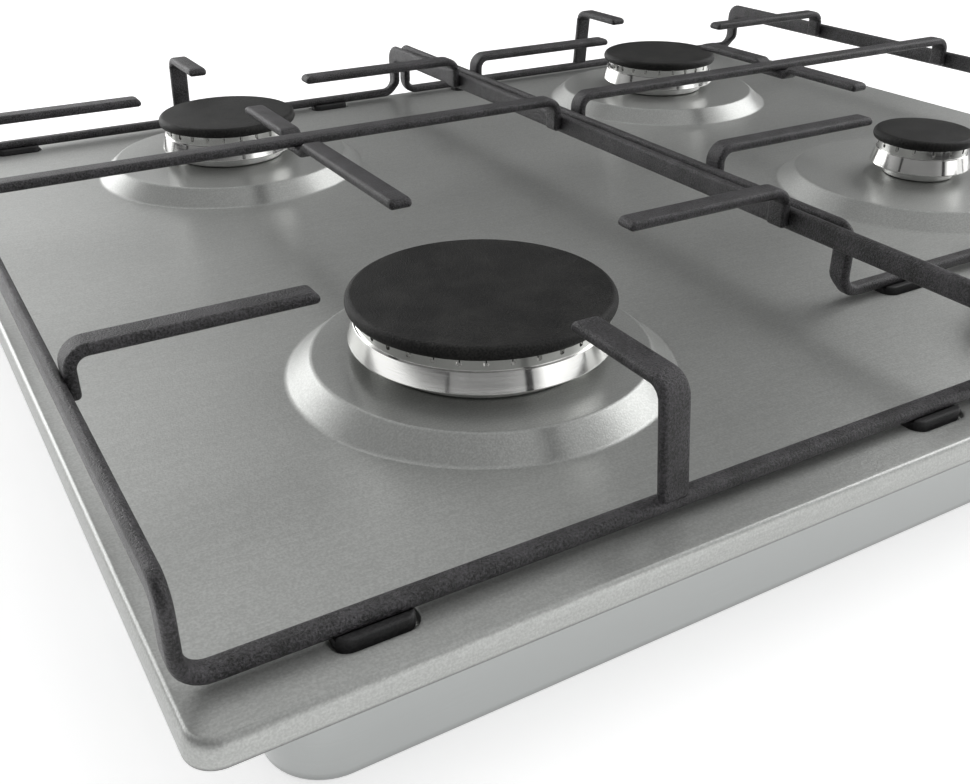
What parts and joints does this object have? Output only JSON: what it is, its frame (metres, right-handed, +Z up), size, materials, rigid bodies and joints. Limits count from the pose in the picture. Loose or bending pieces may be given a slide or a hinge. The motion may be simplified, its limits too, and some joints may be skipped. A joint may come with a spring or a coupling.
{
  "type": "gas cooktop",
  "caption": "Built-in gas hob with a brushed steel deck, round raised burner platforms, black bent-bar pan supports, flat burner caps and push-and-turn front knobs.",
  "frame": {"origin": "middle of the flat underside of the box", "axes": "+Z up, +X to the right along the front edge, +Y to the back"},
  "size_m": [0.59, 0.5, 0.0906],
  "materials": {
    "deck_steel": "brushed stainless sheet",
    "box_steel": "plain drawn sheet",
    "support_enamel": "matt black enamel with fine speckle",
    "cap_enamel": "matt black enamel",
    "polished_aluminium": "turned and polished",
    "cast_aluminium": "as cast",
    "pipe_aluminium": "drawn tube",
    "tap_alloy": "die cast",
    "rail_steel": "plated tube",
    "jet_brass": "turned",
    "zinc_steel": "zinc plated",
    "knob_plastic": "satin silver",
    "plug_ceramic": "white glazed ceramic",
    "foot_rubber": "moulded",
    "seal_foam": "closed-cell foam",
    "black_plastic": "moulded"
  },
  "bodies": {
    "hob": {"top_plate": "deck_steel", "rim_seal": "seal_foam", "burner_box": "box_steel", "fixing_clamp_left_1": "zinc_steel", "fixing_clamp_left_2": "zinc_steel", "fixing_clamp_right_1": "zinc_steel", "fixing_clamp_right_2": "zinc_steel", "burner_cup_front_left": "cast_aluminium", "burner_cup_rear_left": "cast_aluminium", "burner_cup_rear_right": "cast_aluminium", "burner_cup_front_right": "cast_aluminium", "gas_jet_front_left": "jet_brass", "gas_jet_rear_left": "jet_brass", "gas_jet_rear_right": "jet_brass", "gas_jet_front_right": "jet_brass", "spark_plug_front_left": "plug_ceramic", "spark_plug_rear_left": "plug_ceramic", "spark_plug_rear_right": "plug_ceramic", "spark_plug_front_right": "plug_ceramic", "tap_body_front_left": "tap_alloy", "tap_body_rear_left": "tap_alloy", "tap_body_front_right": "tap_alloy", "tap_body_rear_right": "tap_alloy", "gas_pipe_front_left": "pipe_aluminium", "gas_pipe_rear_left": "pipe_aluminium", "gas_pipe_front_right": "pipe_aluminium", "gas_pipe_rear_right": "pipe_aluminium", "gas_rail": "rail_steel", "gas_inlet": "jet_brass", "ignition_unit": "black_plastic"},
    "support_left": {"pan_support_left": "support_enamel", "support_foot_left_front_left": "foot_rubber", "support_foot_left_front_right": "foot_rubber", "support_foot_left_rear_left": "foot_rubber", "support_foot_left_rear_right": "foot_rubber"},
    "support_right": {"pan_support_right": "support_enamel", "support_foot_right_front_left": "foot_rubber", "support_foot_right_front_right": "foot_rubber", "support_foot_right_rear_left": "foot_rubber", "support_foot_right_rear_right": "foot_rubber"},
    "ring_front_left": {"flame_ring_front_left": "polished_aluminium"},
    "cap_front_left": {"burner_cap_front_left": "cap_enamel"},
    "ring_rear_left": {"flame_ring_rear_left": "polished_aluminium"},
    "cap_rear_left": {"burner_cap_rear_left": "cap_enamel"},
    "ring_rear_right": {"flame_ring_rear_right": "polished_aluminium"},
    "cap_rear_right": {"burner_cap_rear_right": "cap_enamel"},
    "ring_front_right": {"flame_ring_front_right": "polished_aluminium"},
    "cap_front_right": {"burner_cap_front_right": "cap_enamel"},
    "plug_front_left": {"tap_plug_front_left": "jet_brass"},
    "handle_front_left": {"tap_spindle_front_left": "zinc_steel", "knob_front_left": "knob_plastic"},
    "plug_rear_left": {"tap_plug_rear_left": "jet_brass"},
    "handle_rear_left": {"tap_spindle_rear_left": "zinc_steel", "knob_rear_left": "knob_plastic"},
    "plug_front_right": {"tap_plug_front_right": "jet_brass"},
    "handle_front_right": {"tap_spindle_front_right": "zinc_steel", "knob_front_right": "knob_plastic"},
    "plug_rear_right": {"tap_plug_rear_right": "jet_brass"},
    "handle_rear_right": {"tap_spindle_rear_right": "zinc_steel", "knob_rear_right": "knob_plastic"}
  },
  "joints": [
    {"name": "support_lift_left", "type": "slide", "parent": "hob", "child": "support_left", "axis": [0, 0, 1], "range_m": [0, 0.06]},
    {"name": "support_lift_right", "type": "slide", "parent": "hob", "child": "support_right", "axis": [0, 0, 1], "range_m": [0, 0.06]},
    {"name": "ring_lift_front_left", "type": "slide", "parent": "hob", "child": "ring_front_left", "axis": [0, 0, 1], "range_m": [0, 0.05]},
    {"name": "cap_lift_front_left", "type": "slide", "parent": "ring_front_left", "child": "cap_front_left", "axis": [0, 0, 1], "range_m": [0, 0.05]},
    {"name": "ring_lift_rear_left", "type": "slide", "parent": "hob", "child": "ring_rear_left", "axis": [0, 0, 1], "range_m": [0, 0.05]},
    {"name": "cap_lift_rear_left", "type": "slide", "parent": "ring_rear_left", "child": "cap_rear_left", "axis": [0, 0, 1], "range_m": [0, 0.05]},
    {"name": "ring_lift_rear_right", "type": "slide", "parent": "hob", "child": "ring_rear_right", "axis": [0, 0, 1], "range_m": [0, 0.05]},
    {"name": "cap_lift_rear_right", "type": "slide", "parent": "ring_rear_right", "child": "cap_rear_right", "axis": [0, 0, 1], "range_m": [0, 0.05]},
    {"name": "ring_lift_front_right", "type": "slide", "parent": "hob", "child": "ring_front_right", "axis": [0, 0, 1], "range_m": [0, 0.05]},
    {"name": "cap_lift_front_right", "type": "slide", "parent": "ring_front_right", "child": "cap_front_right", "axis": [0, 0, 1], "range_m": [0, 0.05]},
    {"name": "tap_turn_front_left", "type": "hinge", "parent": "hob", "child": "plug_front_left", "pos_m": [0.06, -0.2, 0.047], "axis": [0, 0, 1], "range_deg": [0, 210]},
    {"name": "knob_push_front_left", "type": "slide", "parent": "plug_front_left", "child": "handle_front_left", "axis": [0, 0, -1], "range_m": [0, 0.003], "stiffness_N_per_m": 800, "springref_m": -0.004},
    {"name": "tap_turn_rear_left", "type": "hinge", "parent": "hob", "child": "plug_rear_left", "pos_m": [0.118, -0.2, 0.047], "axis": [0, 0, 1], "range_deg": [0, 210]},
    {"name": "knob_push_rear_left", "type": "slide", "parent": "plug_rear_left", "child": "handle_rear_left", "axis": [0, 0, -1], "range_m": [0, 0.003], "stiffness_N_per_m": 800, "springref_m": -0.004},
    {"name": "tap_turn_front_right", "type": "hinge", "parent": "hob", "child": "plug_front_right", "pos_m": [0.176, -0.2, 0.047], "axis": [0, 0, 1], "range_deg": [0, 210]},
    {"name": "knob_push_front_right", "type": "slide", "parent": "plug_front_right", "child": "handle_front_right", "axis": [0, 0, -1], "range_m": [0, 0.003], "stiffness_N_per_m": 800, "springref_m": -0.004},
    {"name": "tap_turn_rear_right", "type": "hinge", "parent": "hob", "child": "plug_rear_right", "pos_m": [0.234, -0.2, 0.047], "axis": [0, 0, 1], "range_deg": [0, 210]},
    {"name": "knob_push_rear_right", "type": "slide", "parent": "plug_rear_right", "child": "handle_rear_right", "axis": [0, 0, -1], "range_m": [0, 0.003], "stiffness_N_per_m": 800, "springref_m": -0.004}
  ]
}
